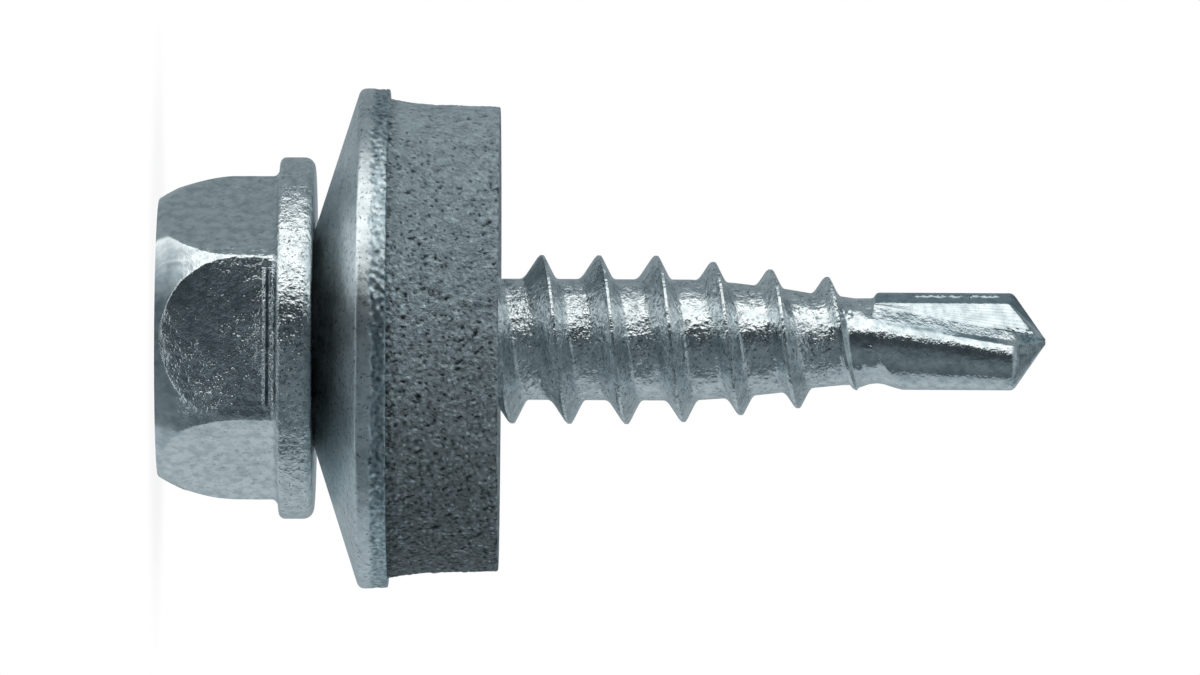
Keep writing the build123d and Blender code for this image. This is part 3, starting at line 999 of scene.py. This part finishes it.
def add_floor():
    """A pale floor that keeps a faint shadow near the object and fades into the white surround."""
    count = 64
    ring = [2 * pi * step / count for step in range(count)]
    points = [(FLOOR_RADIUS * cos(a), FLOOR_RADIUS * sin(a), FLOOR_Z) for a in ring]
    mesh = bpy.data.meshes.new("floor")
    mesh.from_pydata(points, [], [range(count)])
    floor = bpy.data.objects.new("floor", mesh)
    bpy.context.scene.collection.objects.link(floor)
    material, tree = new_material("pale_floor")
    place = add(tree, "ShaderNodeTexCoord").outputs["Object"]
    reach = add(tree, "ShaderNodeVectorMath", {"operation": "LENGTH"}, i0=place).outputs["Value"]
    smooth = {"interpolation_type": "SMOOTHSTEP"}
    start, end = SHADOW_END
    plain = add(tree, "ShaderNodeMapRange", smooth, i0=reach, i1=start, i2=end, i3=0.9, i4=1.0).outputs[0]
    matt = add(tree, "ShaderNodeBsdfDiffuse", Color=(0.9, 0.9, 0.9, 1)).outputs[0]
    white = add(tree, "ShaderNodeEmission", Color=(1, 1, 1, 1), Strength=1.0).outputs[0]
    share = calc(tree, "MULTIPLY", seen_share(tree), plain)
    mixed = add(tree, "ShaderNodeMixShader", i0=share, i1=matt, i2=white).outputs[0]
    add(tree, "ShaderNodeOutputMaterial", Surface=mixed)
    mesh.materials.append(material)


def ring_faces(rows, columns):
    """Faces of a closed band of rows."""
    ids = np.arange(rows)[:, None] * columns + np.arange(columns + 1) % columns
    return [face.tolist() for face in quads(ids)]


def glow_card(name, rings, values):
    """A card through these rings of points that only reflections see, with a glow at each point."""
    mesh = bpy.data.meshes.new(name)
    mesh.from_pydata(np.concatenate(rings).tolist(), [], ring_faces(len(rings), len(rings[0])))
    store_values(mesh, np.concatenate(values))
    card = bpy.data.objects.new(name, mesh)
    bpy.context.scene.collection.objects.link(card)
    material, tree = new_material(name)
    colour = ramp(tree, kept_shade(tree), *GLOW_COLOURS)
    glow = add(tree, "ShaderNodeEmission", Color=colour, Strength=1.0).outputs[0]
    add(tree, "ShaderNodeOutputMaterial", Surface=glow)
    mesh.materials.append(material)
    card.visible_camera = False
    card.visible_diffuse = False
    card.visible_shadow = False
    card.visible_transmission = False


def tent_glow(turn, rise):
    """The brightness in a direction: degrees from the camera's side towards -X, and up to the tip."""
    turn = (turn + 180) % 360 - 180
    level = np.interp(turn, TENT_TURNS, TENT_GLOWS)
    high = np.interp(turn, TENT_TURNS, HIGH_GLOWS)
    return mix(level, high, smooth_step(25, 50, rise))


def table_glow(turn, reach):
    """The table card's brightness: its own by the head, the tent's from afar, and a pool in front."""
    near = np.interp(turn, TENT_TURNS, NEAR_GLOWS)
    glow = mix(near, tent_glow(turn, 0), smooth_step(*NEAR_REACH, reach))
    pool = smooth_step(*POOL_START, reach) * (1 - smooth_step(*POOL_END, reach))
    return np.maximum(glow, POOL_GLOW * pool * (1 - smooth_step(40, 64, np.abs(turn))))


def facing(turn):
    """Unit vectors on the floor at these angles from the camera's side towards -X."""
    return np.stack([-np.sin(turn), -np.cos(turn), 0 * turn], axis=-1)


def add_tent():
    """Soft boxes and dark cards as a dome round the object, and a card on the table.

    The table card is drawn along the lines that the head would reflect if it were round, so that
    its sides show the same light in the card as in the dome.
    """
    turns = np.radians(np.arange(-180, 180, 2))
    rings, values = [], []
    for rise in TENT_RISES:
        ring = TENT_RADIUS * cos(radians(rise)) * facing(turns)
        rings.append(ring + [0, 0, TENT_LOW + TENT_RADIUS * sin(radians(rise))])
        values.append(tent_glow(np.degrees(turns), rise))
    glow_card("tent", rings, values)

    turns = np.radians(np.arange(-90, 91, 1))
    head = (FLAT_RADIUS - TABLE_START) * MM
    rings, values = [], []
    for reach in TABLE_REACHES:
        ring = head * facing(turns) + reach * facing(2 * turns)
        rings.append(ring + [0, 0, TENT_LOW])
        values.append(table_glow(np.degrees(2 * turns), reach))
    glow_card("table_card", rings, values)


def add_lamp(name, direction, height, distance, width, tall, brightness):
    """A soft box, not seen in reflections, at this angle from the camera's side towards -X."""
    data = bpy.data.lights.new(name, "AREA")
    data.shape = "RECTANGLE"
    data.size, data.size_y = width, tall
    data.energy = brightness * pi * width * tall
    lamp = bpy.data.objects.new(name, data)
    bpy.context.scene.collection.objects.link(lamp)
    turn = radians(direction)
    lamp.location = (-sin(turn) * distance, -cos(turn) * distance, height)
    aim = Vector(MIDDLE) - lamp.location
    lamp.rotation_euler = aim.to_track_quat("-Z", "Z").to_euler()
    lamp.visible_glossy = False


def add_light():
    """The surround, the floor, the cards that the metal reflects, and three lamps."""
    add_world()
    add_floor()
    add_tent()
    add_lamp("key_box", 59, 0.03, 0.19, 0.19, 0.25, 2.75)
    add_lamp("fill_box", -105, 0.02, 0.19, 0.12, 0.12, 0.8)
    add_lamp("top_box", 0, 0.21, 0, 0.1, 0.1, 3.6)


# ---------------------------------------------------------------- the part


bpy.context.scene.view_settings.view_transform = "Standard"
add_camera()
add_light()

screw = screw_piece()
screw.data.materials.append(
    steel_material("screw_plate", (0.92, 0.97, 0.98), (0.66, 0.72, 0.74), 0.14, 0.000045)
)
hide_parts("screw")
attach(screw, "screw")

washer = washer_piece()
washer.data.materials.append(
    steel_material("washer_plate", (0.86, 0.92, 0.94), (0.68, 0.74, 0.76), 0.33, 0.000008)
)
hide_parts("metal_washer")
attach(washer, "sealing_washer")

seal = seal_piece()
seal.data.materials.append(rubber_material())
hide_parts("rubber_seal")
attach(seal, "sealing_washer")
